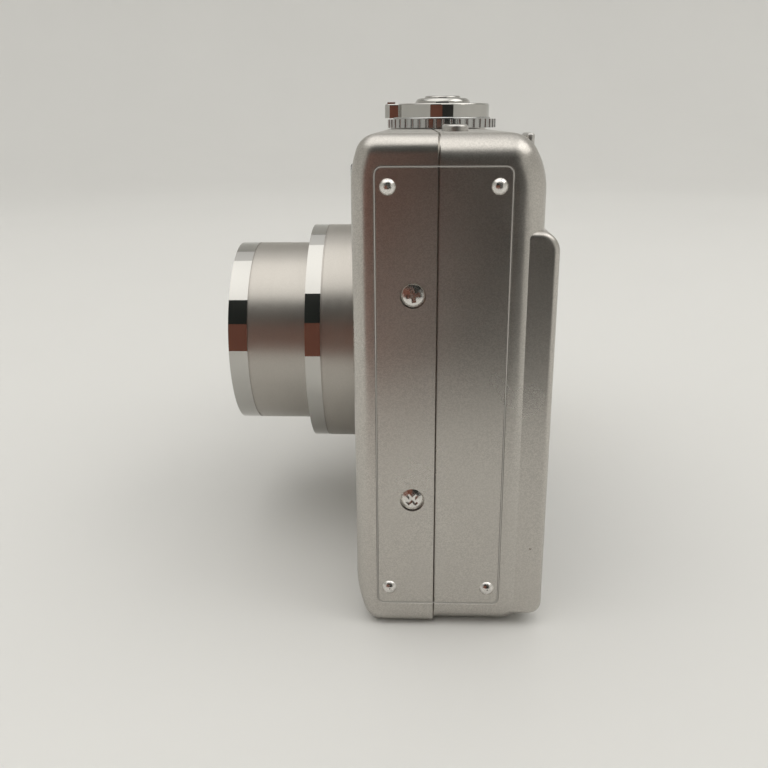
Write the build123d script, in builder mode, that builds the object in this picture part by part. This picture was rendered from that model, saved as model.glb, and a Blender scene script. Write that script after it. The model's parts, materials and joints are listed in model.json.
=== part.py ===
from build123d import *

import os
from math import cos, pi, radians, sin, sqrt

# Compact digital camera with its zoom lens run out.
# Frame: X across the width (the operator's right is -X), -Y is the front, +Z is up.
# Origin: centre of the underside, on the plane where the two shells meet. Millimetres.

# Body
WIDTH = 91.0
HEIGHT = 60.0
FRONT_Y = -9.85
BACK_Y = 11.8
SCREEN_Y = 13.35
HALF = WIDTH / 2
WALL = 1.3
INNER_X = HALF - WALL
FRONT_TOP_CORNER = 2.5
FRONT_TOP_SWEEP = 11.0
FRONT_BOTTOM_CORNER = 2.55
FRONT_BOTTOM_SWEEP = 15.0
FRONT_SPLIT = 70.0
FRONT_END_FILLET = 2.2
BACK_BOTTOM_CORNER = 3.5
BACK_TOP_CORNER = 3.5
BACK_TOP_SWEEP = 9.0
BACK_TOP_SPLIT = 60.0
BACK_END_FILLET = 3.3
SEAM_GAP = 0.3
SEAM_FLOOR = 0.1
SEAM_DEPTH = 0.35
SEAM_ROUND = 2.25
STEP_Y = 10.0
STEP_Z = 2.6
STEP_WALL = 0.8
INNER_BACK_TOP = 57.1

# Screen housing on the back
HOUSING_X = (-15.0, 45.2)
HOUSING_Z = (1.6, 49.6)
HOUSING_RIM = 0.8
WINDOW_SIZE = (52.0, 42.0)
PANEL_SIZE = (48.6, 38.6)
WINDOW_Z = 25.6

# End panels: outline, studs and screws
OUTLINE_Y = (-7.29, 7.97)
OUTLINE_Z = (3.28, 56.72)
OUTLINE_LINE = 0.26
OUTLINE_DEPTH = 0.12
OUTLINE_ROUND = 0.95
STUD_Y = (-5.71, 6.39)
STUD_Z = (5.53, 54.47)
STUD_R = 0.9
STUD_RISE = 0.5
STUD_DOME_R = 1.06
STUD_STEM_R = 0.5
SCREW_Y = -2.91
SCREW_Z = (17.47, 42.53)
SCREW_HEAD_R = 1.35
SCREW_SHANK_R = 0.8
SCREW_DOME_R = 3.2
SCREW_TOP = 45.45
SCREW_SEAT = 44.9
CROSS_REACH = 0.82
CROSS_WIDTH = 0.5
CROSS_DEPTH = 0.45
CROSS_TURNS = (43.0, 10.0)
BASE_SCREWS = [(-6.0, 6.0), (36.0, 6.0), (-6.0, -5.5), (36.0, -5.5)]

# Lens
LENS_X = 7.0
LENS_Z = 29.2
INNER_R = 13.95
OUTER_R = 16.745
INNER_FRONT = -29.84
INNER_RING = -27.10
INNER_REAR = -15.34
OUTER_FRONT = -18.34
OUTER_RING = -16.14
OUTER_REAR = -3.34
BEZEL_R = 19.6
FIXED_R = 19.4
FIXED_BORE = 18.25
SENSOR_PLATE_Y = 7.4
BLADE_PIVOT = 10.8
BLADE_R = 6.3
LENS_OPENING = 6.0
BLADE_SWING = 34.4
FRONT_LENS_APEX = -27.9
FRONT_LENS_CURVE = 16.0
FOCUS_LENS_APEX = 3.7
FOCUS_LENS_CURVE = 14.0

# Zoom gears
MODULE = 0.5
RING_TEETH = 70
PINION_TEETH = 12
IDLER_TEETH = 24
MOTOR_TEETH = 10
PINION_ANGLE = -50.0
TRAIN_ANGLE = -10.0
PIN_R = 0.6

# Focus drive
FOCUS_SCREW = (30.0, 29.2)
ROD_ANGLES = (60.0, 240.0)
ROD_CIRCLE = 10.6

# Top controls
SHUTTER_XY = (-30.0, 2.2)
DIAL_XY = (-9.5, 1.5)
DIAL_R = 9.0
POWER_XY = (25.0, 2.3)
PRINT_XY = (34.0, 10.6)
PRINT_SIZE = (5.0, 1.0)
BOSS_TOP = 61.6

# Back keys
PAD_XZ = (-29.5, 24.0)
PAD_R = 9.0
SET_R = 3.8
MENU_XZ = (-36.3, 42.0)
PLAY_XZ = (-22.7, 42.0)
SMALL_KEY_R = 2.6
KEY_BACK = 9.6

# Base: battery, card, door, tripod thread
CASE_X = (-42.6, -13.9)
BATTERY_X = (-41.5, -15.2)
BATTERY_Y = (-7.3, -0.9)
BATTERY_Z = (2.4, 41.4)
CARD_X = (-40.0, -16.0)
CARD_Y = (1.65, 3.75)
CARD_Z = (3.4, 35.4)
LATCH_X = (-40.4, -35.2)
LATCH_Y = (-3.4, 0.4)
DOOR_X = (-42.0, -14.0)
DOOR_Y = (-7.3, 4.7)
CHEEK_X = (-15.0, -13.1)
DOOR_PIN_Z = 1.0
KNUCKLE_R = 0.85
DOOR_PIN_R = 0.4
TRIPOD_XY = (12.0, 4.6)
TRIPOD_R = 3.175
TRIPOD_SOCKET_R = 4.3

# Connector cover and strap eyelet, on the -X end
COVER_Y = (0.7, 6.3)
COVER_Z = (43.6, 52.6)
COVER_PIN_X = -44.85
COVER_KNUCKLE_R = 0.6
EYELET_YZ = (3.0, 30.0)

# Front items
FLASH_X = (26.4, 41.6)
FLASH_Z = (47.6, 56.8)
FLASH_FRONT = -10.0
LAMP_XZ = (-17.0, 50.0)

LENS_AXIS = Axis((LENS_X, 0, LENS_Z), (0, 1, 0))


def front_plane(y, x=0.0, z=0.0):
    """Plane that faces the front: its x is +X and its y is +Z."""
    return Plane(origin=(x, y, z), x_dir=(1, 0, 0), z_dir=(0, -1, 0))


def end_plane(x):
    """Plane that faces +X: its x is +Y and its y is +Z."""
    return Plane(origin=(x, 0, 0), x_dir=(0, 1, 0), z_dir=(1, 0, 0))


def top_plane(z, x=0.0, y=0.0):
    """Horizontal plane at height z."""
    return Plane(origin=(x, y, z), x_dir=(1, 0, 0), z_dir=(0, 0, 1))


def lens_plane(y):
    """Plane that faces the front, centred on the lens axis."""
    return front_plane(y, LENS_X, LENS_Z)


def lens_section():
    """Half section of the lens: its x is +Y and its y is the radius."""
    return Plane(origin=(LENS_X, 0, LENS_Z), x_dir=(0, 1, 0), z_dir=(1, 0, 0))


def block(xs, ys, zs, mode=Mode.ADD):
    """Box between the given pairs of limits."""
    centre = ((xs[0] + xs[1]) / 2, (ys[0] + ys[1]) / 2, (zs[0] + zs[1]) / 2)
    with Locations(centre):
        Box(xs[1] - xs[0], ys[1] - ys[0], zs[1] - zs[0], mode=mode)


def rod_x(xs, y, z, radius, mode=Mode.ADD):
    """Cylinder along X."""
    with Locations(((xs[0] + xs[1]) / 2, y, z)):
        Cylinder(radius, xs[1] - xs[0], rotation=(0, 90, 0), mode=mode)


def rod_y(x, ys, z, radius, mode=Mode.ADD):
    """Cylinder along Y."""
    with Locations((x, (ys[0] + ys[1]) / 2, z)):
        Cylinder(radius, ys[1] - ys[0], rotation=(90, 0, 0), mode=mode)


def rod_z(x, y, zs, radius, mode=Mode.ADD):
    """Cylinder along Z."""
    with Locations((x, y, (zs[0] + zs[1]) / 2)):
        Cylinder(radius, zs[1] - zs[0], mode=mode)


def lens_point(radius, angle):
    """X and Z of a point round the lens axis, the angle counted from +X towards +Z."""
    return (LENS_X + radius * cos(radians(angle)), LENS_Z + radius * sin(radians(angle)))


def step_from(point, distance, angle):
    """X and Z of the point at a distance and angle from another."""
    return (point[0] + distance * cos(radians(angle)), point[1] + distance * sin(radians(angle)))


def save(piece, name):
    """Label a finished piece and write it to its own STEP file."""
    piece.part.label = name
    export_step(piece.part, f"parts/{name}.step")


def turned(points, round_edges=None, radius=0.0):
    """Ring turned about the lens axis from a section of (y, radius) points."""
    with BuildPart() as piece:
        with BuildSketch(lens_section()) as section:
            with BuildLine():
                Polyline(*points, close=True)
            make_face()
            if round_edges:
                corners = [v for v in section.vertices() if near_any(v, round_edges)]
                fillet(corners, radius)
        revolve(axis=LENS_AXIS)
    return piece


def near_any(vertex, points):
    """True where a section's corner is one of the given (y, radius) points."""
    return any(abs(vertex.Y - y) < 1e-3 and abs(vertex.Z - LENS_Z - r) < 1e-3 for y, r in points)


def gear_points(teeth, first_tooth):
    """Outline of a spur gear with thin straight-flanked teeth, which leave backlash."""
    pitch_r = MODULE * teeth / 2
    tip_r = pitch_r + 0.8 * MODULE
    root_r = pitch_r - 1.05 * MODULE
    tip_half = 0.15 / tip_r
    root_half = 0.42 / root_r
    points = []
    for tooth in range(teeth):
        middle = radians(first_tooth) + 2 * pi * tooth / teeth
        for half, r in ((-root_half, root_r), (-tip_half, tip_r), (tip_half, tip_r), (root_half, root_r)):
            points.append((r * cos(middle + half), r * sin(middle + half)))
    return points


def spur_gear(centre, teeth, first_tooth, ys, bore):
    """Spur gear on an axis along Y."""
    with BuildPart() as gear:
        with BuildSketch(front_plane(ys[1], centre[0], centre[1])):
            with BuildLine():
                Polyline(*gear_points(teeth, first_tooth), close=True)
            make_face()
            if bore:
                Circle(bore, mode=Mode.SUBTRACT)
        extrude(amount=ys[1] - ys[0])
    return gear


os.makedirs("parts", exist_ok=True)

# ---------------------------------------------------------------- shells


def swept_corner(face_y, corner, sweep, split):
    """Points of a corner at Z 0 below an upright face: it turns tightly for split degrees, then gently.

    Gives the (Y, Z) of the flat's end, of the tight turn's end, and of the gentle turn's end.
    """
    side = 1 if face_y > 0 else -1
    turn = radians(split)
    tight_z = corner * (1 - cos(turn))
    tight_y = face_y - side * sweep * (1 - sin(turn))
    flat_end = (tight_y - side * corner * sin(turn), 0)
    return flat_end, (tight_y, tight_z), (face_y, tight_z + sweep * cos(turn))


def end_edges(piece):
    """Edges round both end faces, apart from those on the seam."""
    picked = []
    for face in (piece.faces().sort_by(Axis.X)[0], piece.faces().sort_by(Axis.X)[-1]):
        picked += [e for e in face.edges() if abs(e.center().Y) > 1e-3]
    return picked


def cut_end_details(side):
    """Outline groove, stud holes and screw seats in one end, within the part being built."""
    face_x = side * HALF
    for z in SCREW_Z:
        rod_x(sorted((face_x, face_x - side * 0.6)), SCREW_Y, z, SCREW_HEAD_R + 0.12, Mode.SUBTRACT)
        rod_x(sorted((face_x, face_x - side * 2.0)), SCREW_Y, z, SCREW_SHANK_R + 0.05, Mode.SUBTRACT)
    for y in STUD_Y:
        for z in STUD_Z:
            rod_x(sorted((face_x, face_x - side * 0.8)), y, z, 0.5, Mode.SUBTRACT)


def outline_block(side, width, slope):
    """Rounded block over one end's outline, its sides sloping inwards or outwards with depth."""
    over = OUTLINE_DEPTH / 2
    per_depth = slope * (OUTLINE_LINE / 2 - 0.03) / OUTLINE_DEPTH
    with BuildPart() as piece:
        for depth in (-over, OUTLINE_DEPTH):
            shrink = width + depth * per_depth
            with BuildSketch(end_plane(side * (HALF - depth))):
                with Locations((sum(OUTLINE_Y) / 2, sum(OUTLINE_Z) / 2)):
                    RectangleRounded(OUTLINE_Y[1] - OUTLINE_Y[0] - 2 * shrink,
                                     OUTLINE_Z[1] - OUTLINE_Z[0] - 2 * shrink, OUTLINE_ROUND - shrink)
        loft(ruled=True)
    return piece


outline_blocks = [(outline_block(side, 0.0, 1), outline_block(side, OUTLINE_LINE, -1)) for side in (-1, 1)]
outline_tools = [outer.part - inner.part for outer, inner in outline_blocks]

with BuildPart() as seam_slope:
    for gap, depth in ((SEAM_GAP, -0.02), (SEAM_FLOOR, SEAM_DEPTH)):
        with BuildSketch(front_plane(-gap)):
            with Locations((0, HEIGHT / 2)):
                RectangleRounded(WIDTH - 2 * depth, HEIGHT - 2 * depth, SEAM_ROUND - depth)
    loft(ruled=True)

with BuildPart() as seam_tool:
    with BuildSketch(front_plane(0)):
        with Locations((0, HEIGHT / 2)):
            Rectangle(WIDTH + 2, HEIGHT + 2)
            RectangleRounded(WIDTH - 2 * SEAM_DEPTH, HEIGHT - 2 * SEAM_DEPTH, SEAM_ROUND - SEAM_DEPTH,
                             mode=Mode.SUBTRACT)
    extrude(amount=SEAM_GAP)
    add(seam_slope.part, mode=Mode.SUBTRACT)

with BuildPart() as door_opening:
    block((DOOR_X[0] - 0.2, DOOR_X[1] + 1.25), (DOOR_Y[0] - 0.2, DOOR_Y[1] + 0.2), (-1, 2.3))
    block((DOOR_X[1] - 1.1, DOOR_X[1] + 1.25), (DOOR_Y[0] - 0.6, DOOR_Y[1] + 0.9), (0.55, 2.3))

with BuildPart() as front_shell:
    top_corner, top_end, top_start = swept_corner(FRONT_Y, FRONT_TOP_CORNER, FRONT_TOP_SWEEP, FRONT_SPLIT)
    low_corner, low_end, low_start = swept_corner(
        FRONT_Y, FRONT_BOTTOM_CORNER, FRONT_BOTTOM_SWEEP, FRONT_SPLIT)
    with BuildSketch(end_plane(-HALF)):
        with BuildLine():
            Line((0, 0), (low_corner[0], 0))
            RadiusArc((low_corner[0], 0), low_end, FRONT_BOTTOM_CORNER)
            RadiusArc(low_end, low_start, FRONT_BOTTOM_SWEEP)
            Line(low_start, (FRONT_Y, HEIGHT - top_start[1]))
            RadiusArc((FRONT_Y, HEIGHT - top_start[1]), (top_end[0], HEIGHT - top_end[1]), FRONT_TOP_SWEEP)
            RadiusArc((top_end[0], HEIGHT - top_end[1]), (top_corner[0], HEIGHT), FRONT_TOP_CORNER)
            Line((top_corner[0], HEIGHT), (0, HEIGHT))
            Line((0, HEIGHT), (0, 0))
        make_face()
    extrude(amount=WIDTH)
    fillet(end_edges(front_shell), FRONT_END_FILLET)
    rod_z(*SHUTTER_XY, (HEIGHT - 2, BOSS_TOP), 8.2)
    block((-HALF, HALF), (0, 20), (-5, 70), Mode.SUBTRACT)
    block((-INNER_X, INNER_X), (FRONT_Y + WALL, 1), (WALL + 0.8, HEIGHT - WALL - 0.8), Mode.SUBTRACT)
    block((-INNER_X, INNER_X), (FRONT_Y + WALL + 0.8, 1), (WALL, HEIGHT - WALL), Mode.SUBTRACT)
    rod_z(*SHUTTER_XY, (50, 70), 6.15, Mode.SUBTRACT)
    rod_z(*DIAL_XY, (50, 70), 2.7, Mode.SUBTRACT)
    rod_y(LENS_X, (FRONT_Y - 1, 0), LENS_Z, BEZEL_R - 1.6, Mode.SUBTRACT)
    rod_y(LAMP_XZ[0], (FRONT_Y - 1, 0), LAMP_XZ[1], 2.15, Mode.SUBTRACT)
    for dx in (-1.6, 0, 1.6):
        rod_y(31.5 + dx, (FRONT_Y - 1, 0), 43.6, 0.35, Mode.SUBTRACT)
    with BuildSketch(front_plane(FRONT_Y)):
        with Locations((sum(FLASH_X) / 2, sum(FLASH_Z) / 2)):
            RectangleRounded(FLASH_X[1] - FLASH_X[0], FLASH_Z[1] - FLASH_Z[0], 1.0)
    extrude(amount=-WALL - 0.1, mode=Mode.SUBTRACT)
    for end in (-1, 1):
        cut_end_details(end)
    for x, y in BASE_SCREWS[2:]:
        rod_z(x, y, (-0.1, 0.9), SCREW_HEAD_R + 0.1, Mode.SUBTRACT)
        rod_z(x, y, (-0.1, 2.0), SCREW_SHANK_R, Mode.SUBTRACT)
    add(outline_tools, mode=Mode.SUBTRACT)
    add(seam_tool.part, mode=Mode.SUBTRACT)
    add(door_opening.part, mode=Mode.SUBTRACT)
save(front_shell, "front_shell")

with BuildPart() as screen_housing:
    with BuildSketch(end_plane(HOUSING_X[0])):
        with BuildLine():
            FilletPolyline((8.5, HOUSING_Z[0]), (SCREEN_Y, HOUSING_Z[0]),
                           (SCREEN_Y, HOUSING_Z[1]), (8.5, HOUSING_Z[1]), radius=(1.6, 2.3))
            Line((8.5, HOUSING_Z[1]), (8.5, HOUSING_Z[0]))
        make_face()
    extrude(amount=HOUSING_X[1] - HOUSING_X[0])
    ends = screen_housing.faces().filter_by(Axis.X)
    rims = [e for face in ends for e in face.edges() if e.center().Y > 8.6]
    fillet(rims, HOUSING_RIM)

# Space cleared under the back, behind a rounded foot
with BuildPart() as step_tool:
    with BuildSketch(end_plane(-HALF - 1)):
        with BuildLine():
            Polyline((8.7, -0.1), (8.7, -1), (20, -1), (20, STEP_Z), (STEP_Y, STEP_Z), (STEP_Y, 1.0))
            ThreePointArc((STEP_Y, 1.0), (9.70, 0.32), (8.7, -0.1))
        make_face()
    extrude(amount=WIDTH + 2)

with BuildPart() as back_shell:
    back_corner, back_end, back_start = swept_corner(BACK_Y, BACK_TOP_CORNER, BACK_TOP_SWEEP, BACK_TOP_SPLIT)
    mid = (back_end[0], HEIGHT - back_end[1])
    low = (BACK_Y, HEIGHT - back_start[1])
    with BuildSketch(end_plane(-HALF)) as section:
        with BuildLine():
            Line((0, HEIGHT), (0, 0))
            Line((0, 0), (BACK_Y - BACK_BOTTOM_CORNER, 0))
            RadiusArc((BACK_Y - BACK_BOTTOM_CORNER, 0), (BACK_Y, BACK_BOTTOM_CORNER), -BACK_BOTTOM_CORNER)
            Line((BACK_Y, BACK_BOTTOM_CORNER), low)
            RadiusArc(low, mid, -BACK_TOP_SWEEP)
            RadiusArc(mid, (back_corner[0], HEIGHT), -BACK_TOP_CORNER)
            Line((back_corner[0], HEIGHT), (0, HEIGHT))
        make_face()
    extrude(amount=WIDTH)
    fillet(end_edges(back_shell), BACK_END_FILLET)
    rod_z(*SHUTTER_XY, (HEIGHT - 3, BOSS_TOP), 8.2)
    block((-HALF, HALF), (-20, 0), (-5, 70), Mode.SUBTRACT)
    add(step_tool.part, mode=Mode.SUBTRACT)
    add(screen_housing.part)
    block((-INNER_X, INNER_X), (-1, 7.6), (WALL, HEIGHT - WALL), Mode.SUBTRACT)
    block((-INNER_X, INNER_X), (-1, STEP_Y - STEP_WALL), (WALL, INNER_BACK_TOP), Mode.SUBTRACT)
    block((1.2 - INNER_X, INNER_X - 1.2), (-1, BACK_Y - WALL), (STEP_Z + STEP_WALL, INNER_BACK_TOP), Mode.SUBTRACT)
    rod_z(*SHUTTER_XY, (50, 70), 6.15, Mode.SUBTRACT)
    rod_z(*DIAL_XY, (50, 70), 2.7, Mode.SUBTRACT)
    housing_mid = sum(HOUSING_X) / 2
    with BuildSketch(front_plane(SCREEN_Y)):
        with Locations((housing_mid, WINDOW_Z)):
            RectangleRounded(*WINDOW_SIZE, 1.5)
    extrude(amount=1.0, mode=Mode.SUBTRACT)
    with Locations((housing_mid, 11.0, WINDOW_Z)):
        Box(PANEL_SIZE[0] + 0.4, 4.0, PANEL_SIZE[1] + 0.4, mode=Mode.SUBTRACT)
    rod_y(PAD_XZ[0], (9, 14), PAD_XZ[1], PAD_R + 0.25, Mode.SUBTRACT)
    for x, z in (MENU_XZ, PLAY_XZ):
        rod_y(x, (9, 14), z, SMALL_KEY_R + 0.15, Mode.SUBTRACT)
    with BuildSketch(top_plane(54)):
        with Locations(POWER_XY):
            SlotOverall(9.3, 3.4)
    extrude(amount=10, mode=Mode.SUBTRACT)
    with BuildSketch(top_plane(57.0)):
        with Locations(PRINT_XY):
            SlotOverall(PRINT_SIZE[0] + 0.3, PRINT_SIZE[1] + 0.3)
    extrude(amount=10, mode=Mode.SUBTRACT)
    for dx in (-3.0, -1.5, 0, 1.5, 3.0):
        rod_z(9.5 + dx, 4.0, (58, 61), 0.4, Mode.SUBTRACT)
    for x in (-32.5, -29.5, -26.5):
        for z in (47.6, 50.2):
            rod_y(x, (BACK_Y - 0.5, BACK_Y + 0.35), z, 0.5)
    rod_z(*TRIPOD_XY, (-1, 2), TRIPOD_SOCKET_R + 0.1, Mode.SUBTRACT)
    for x, y in BASE_SCREWS[:2]:
        rod_z(x, y, (-0.1, 0.9), SCREW_HEAD_R + 0.1, Mode.SUBTRACT)
        rod_z(x, y, (-0.1, 2.0), SCREW_SHANK_R, Mode.SUBTRACT)
    for end in (-1, 1):
        cut_end_details(end)
    block((-HALF - 1, -INNER_X + 0.1), (COVER_Y[0] - 0.15, COVER_Y[1] + 0.9),
          (COVER_Z[0] - 0.15, COVER_Z[1] + 0.15), Mode.SUBTRACT)
    rod_z(COVER_PIN_X, COVER_Y[1], (COVER_Z[0] - 0.6, COVER_Z[1] + 0.6), 0.3, Mode.SUBTRACT)
    add(outline_tools, mode=Mode.SUBTRACT)
    add(door_opening.part, mode=Mode.SUBTRACT)
save(back_shell, "back_shell")

# ---------------------------------------------------------------- screen

with BuildPart() as screen_window:
    with BuildSketch(front_plane(SCREEN_Y - 0.1)):
        with Locations((housing_mid, WINDOW_Z)):
            RectangleRounded(WINDOW_SIZE[0] - 0.2, WINDOW_SIZE[1] - 0.2, 1.4)
    extrude(amount=0.9)
    chamfer(screen_window.faces().sort_by(Axis.Y)[-1].edges(), 0.15)
save(screen_window, "screen_window")

with BuildPart() as screen_panel:
    with BuildSketch(front_plane(SCREEN_Y - 1.3)):
        with Locations((housing_mid, WINDOW_Z)):
            Rectangle(*PANEL_SIZE)
    extrude(amount=1.2)
save(screen_panel, "screen_panel")

with BuildPart() as backlight_frame:
    panel_x = (housing_mid - PANEL_SIZE[0] / 2, housing_mid + PANEL_SIZE[0] / 2)
    panel_z = (WINDOW_Z - PANEL_SIZE[1] / 2, WINDOW_Z + PANEL_SIZE[1] / 2)
    block(panel_x, (9.5, SCREEN_Y - 2.6), panel_z)
    block((panel_x[0] + 2, panel_x[1] - 2), (SCREEN_Y - 3.0, SCREEN_Y), (panel_z[0] + 2, panel_z[1] - 2),
          Mode.SUBTRACT)
save(backlight_frame, "backlight_frame")

# ---------------------------------------------------------------- chassis and board

with BuildPart() as chassis_frame:
    block((-43.4, 43.4), (8.6, 9.1), (3.0, 57.0))
    block((3.0, 21.0), (8.0, 9.5), (0, 8.0), Mode.SUBTRACT)
    block((-8, 22), (8.0, 9.5), (22, 40), Mode.SUBTRACT)
    for end in (-1, 1):
        for low_z, high_z in ((14.5, 20.5), (39.5, 43.4)):
            block(sorted((end * 43.4, end * 44.1)), (-4.9, 9.1), (low_z, high_z))
            block(sorted((end * 43.0, end * 44.1)), (8.6, 9.1), (low_z, high_z))
        for z in SCREW_Z:
            rod_x(sorted((end * 43.0, end * 44.3)), SCREW_Y, z, SCREW_SHANK_R, Mode.SUBTRACT)
    for x in (-6.0, 36.0):
        block((x - 2.5, x + 2.5), (-7.6, 9.1), (1.35, 1.85))
        block((x - 2.5, x + 2.5), (8.6, 9.1), (1.35, 3.5))
    for x, y in BASE_SCREWS:
        rod_z(x, y, (1.0, 2.2), SCREW_SHANK_R, Mode.SUBTRACT)
save(chassis_frame, "chassis_frame")

CHIPS = [(-22.0, 20.0, 10.0, 10.0, 0.9), (-34.0, 18.0, 8.0, 6.0, 0.8), (-34.0, 34.0, 6.0, 11.0, 0.9),
         (-20.0, 38.0, 7.0, 7.0, 0.8), (4.0, 52.3, 9.0, 3.6, 0.8)]

with BuildPart() as main_board:
    block((-43.0, -13.4), (6.4, 7.2), (3.0, 55.0))
    block((-13.4, 24.0), (6.4, 7.2), (49.6, 55.0))
    for x, z, width, height, rise in CHIPS:
        block((x - width / 2, x + width / 2), (7.2, 7.2 + rise), (z - height / 2, z + height / 2))
    for index in range(8):
        block((-41.0 + 3.2 * index, -39.4 + 3.2 * index), (7.2, 7.8), (8.0, 8.8))
        block((-41.0 + 3.2 * index, -39.4 + 3.2 * index), (7.2, 7.8), (48.0, 48.8))
save(main_board, "main_board")

# ---------------------------------------------------------------- lens: fixed parts

with BuildPart() as lens_bezel:
    with BuildSketch(lens_section()) as section:
        with BuildLine():
            Polyline((-8.8, 17.05), (-10.7, 17.05), (-10.7, BEZEL_R - 0.7), (FRONT_Y, BEZEL_R),
                     (FRONT_Y, BEZEL_R - 1.7), (-8.8, BEZEL_R - 1.7), close=True)
        make_face()
    revolve(axis=LENS_AXIS)
save(lens_bezel, "lens_bezel")

PINION_XZ = lens_point(MODULE * (RING_TEETH + PINION_TEETH) / 2, PINION_ANGLE)
IDLER_XZ = step_from(PINION_XZ, MODULE * (PINION_TEETH + IDLER_TEETH) / 2, TRAIN_ANGLE)
MOTOR_XZ = step_from(IDLER_XZ, MODULE * (IDLER_TEETH + MOTOR_TEETH) / 2, TRAIN_ANGLE)

with BuildPart() as fixed_barrel:
    with BuildSketch(lens_section()):
        with BuildLine():
            Polyline((-8.5, 17.0), (-8.5, FIXED_R), (SENSOR_PLATE_Y, FIXED_R), (SENSOR_PLATE_Y, FIXED_BORE),
                     (-7.6, FIXED_BORE), (-7.6, 17.0), close=True)
        make_face()
    revolve(axis=LENS_AXIS)
    for angle in (45, 135, 225):
        x, z = lens_point(FIXED_R + 1.0, angle)
        rod_y(x, (5.4, SENSOR_PLATE_Y), z, 2.0)
    block((25.6, 33.5), (-3.0, -2.2), (26.0, 32.4))
    rod_y(LENS_X, (-7.6, SENSOR_PLATE_Y), LENS_Z, FIXED_BORE, Mode.SUBTRACT)
    rod_y(PINION_XZ[0], (-7.6, SENSOR_PLATE_Y), PINION_XZ[1], 3.7, Mode.SUBTRACT)
    block((20.0, 28.0), (3.9, SENSOR_PLATE_Y), (26.2, 32.2), Mode.SUBTRACT)
    rod_y(FOCUS_SCREW[0], (-4, 0), FOCUS_SCREW[1], 0.9, Mode.SUBTRACT)
save(fixed_barrel, "fixed_barrel")

with BuildPart() as sensor_plate:
    with BuildSketch(lens_plane(SENSOR_PLATE_Y + 1.0)):
        Circle(FIXED_R)
    extrude(amount=1.0)
    for angle in (45, 135, 225):
        x, z = lens_point(FIXED_R + 1.0, angle)
        rod_y(x, (SENSOR_PLATE_Y, SENSOR_PLATE_Y + 1.0), z, 2.0)
    block((17.5, 42.2), (SENSOR_PLATE_Y, SENSOR_PLATE_Y + 1.0), (5.2, 18.5))
    block((20.0, 33.5), (SENSOR_PLATE_Y, SENSOR_PLATE_Y + 1.0), (26.0, 32.4))
    rod_y(PINION_XZ[0], (-7.2, SENSOR_PLATE_Y), PINION_XZ[1], PIN_R)
save(sensor_plate, "sensor_plate")

with BuildPart() as image_sensor:
    block((LENS_X - 7.0, LENS_X + 7.0), (6.9, SENSOR_PLATE_Y), (LENS_Z - 6.0, LENS_Z + 6.0))
    block((LENS_X - 5.5, LENS_X + 5.5), (6.4, 6.9), (LENS_Z - 4.5, LENS_Z + 4.5))
save(image_sensor, "image_sensor")

# ---------------------------------------------------------------- lens: moving barrels

with BuildPart() as guide_ring:
    with BuildSketch(lens_plane(-3.6)):
        Circle(15.35)
        Circle(14.25, mode=Mode.SUBTRACT)
    extrude(amount=13.6)
    for angle in (90, 210, 330):
        x, z = lens_point(14.8, angle)
        rod_y(x, (-16.0, -3.0), z, 0.9, Mode.SUBTRACT)
save(guide_ring, "guide_ring")

RING_PHASE = PINION_ANGLE
with BuildPart() as outer_barrel:
    with BuildSketch(lens_section()):
        with BuildLine():
            Polyline((OUTER_RING, 15.65), (OUTER_RING, OUTER_R - 0.16), (OUTER_RING + 0.16, OUTER_R - 0.16),
                     (OUTER_RING + 0.22, OUTER_R), (OUTER_REAR, OUTER_R), (OUTER_REAR, 15.65), close=True)
        make_face()
    revolve(axis=LENS_AXIS)
    with BuildSketch(lens_plane(OUTER_REAR)):
        with BuildLine():
            Polyline(*gear_points(RING_TEETH, RING_PHASE), close=True)
        make_face()
        Circle(15.65, mode=Mode.SUBTRACT)
    extrude(amount=2.5)
save(outer_barrel, "outer_barrel")

outer_barrel_ring = turned(
    [(OUTER_RING, 15.65), (OUTER_RING, OUTER_R), (OUTER_FRONT, OUTER_R), (OUTER_FRONT, 14.15),
     (OUTER_FRONT + 0.9, 14.15), (OUTER_FRONT + 0.9, 15.65)],
    [(OUTER_FRONT, OUTER_R)], 0.55)
save(outer_barrel_ring, "outer_barrel_ring")

with BuildPart() as inner_barrel:
    with BuildSketch(lens_section()):
        with BuildLine():
            Polyline((INNER_REAR, 12.9), (INNER_REAR, INNER_R), (INNER_RING + 0.22, INNER_R),
                     (INNER_RING + 0.16, INNER_R - 0.16), (INNER_RING, INNER_R - 0.16), (INNER_RING, 12.9),
                     (-28.1, 12.9), (-28.1, 7.8), (-26.8, 7.8), (-26.8, 7.5), (-24.4, 7.5), (-24.4, 12.9),
                     close=True)
        make_face()
    revolve(axis=LENS_AXIS)
    for angle in (0, 180):
        x, z = lens_point(BLADE_PIVOT, angle)
        rod_y(x, (-28.75, -28.0), z, 0.45)
save(inner_barrel, "inner_barrel")

inner_barrel_ring = turned(
    [(INNER_RING, 12.95), (INNER_RING, INNER_R), (INNER_FRONT, INNER_R), (INNER_FRONT, 11.5),
     (INNER_FRONT + 1.0, 11.5), (INNER_FRONT + 1.0, 12.95)],
    [(INNER_FRONT, INNER_R)], 0.65)
save(inner_barrel_ring, "inner_barrel_ring")

lens_name_ring = turned(
    [(-28.8, LENS_OPENING), (-29.05, LENS_OPENING), (-29.45, 10.2), (-29.45, 11.45), (-28.8, 11.45)])
save(lens_name_ring, "lens_name_ring")

with BuildPart() as front_lens:
    rod_y(LENS_X, (-28.0, -24.4), LENS_Z, 7.45)
    with Locations((LENS_X, FRONT_LENS_APEX + FRONT_LENS_CURVE, LENS_Z)):
        Sphere(FRONT_LENS_CURVE, mode=Mode.INTERSECT)
save(front_lens, "front_lens")


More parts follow.
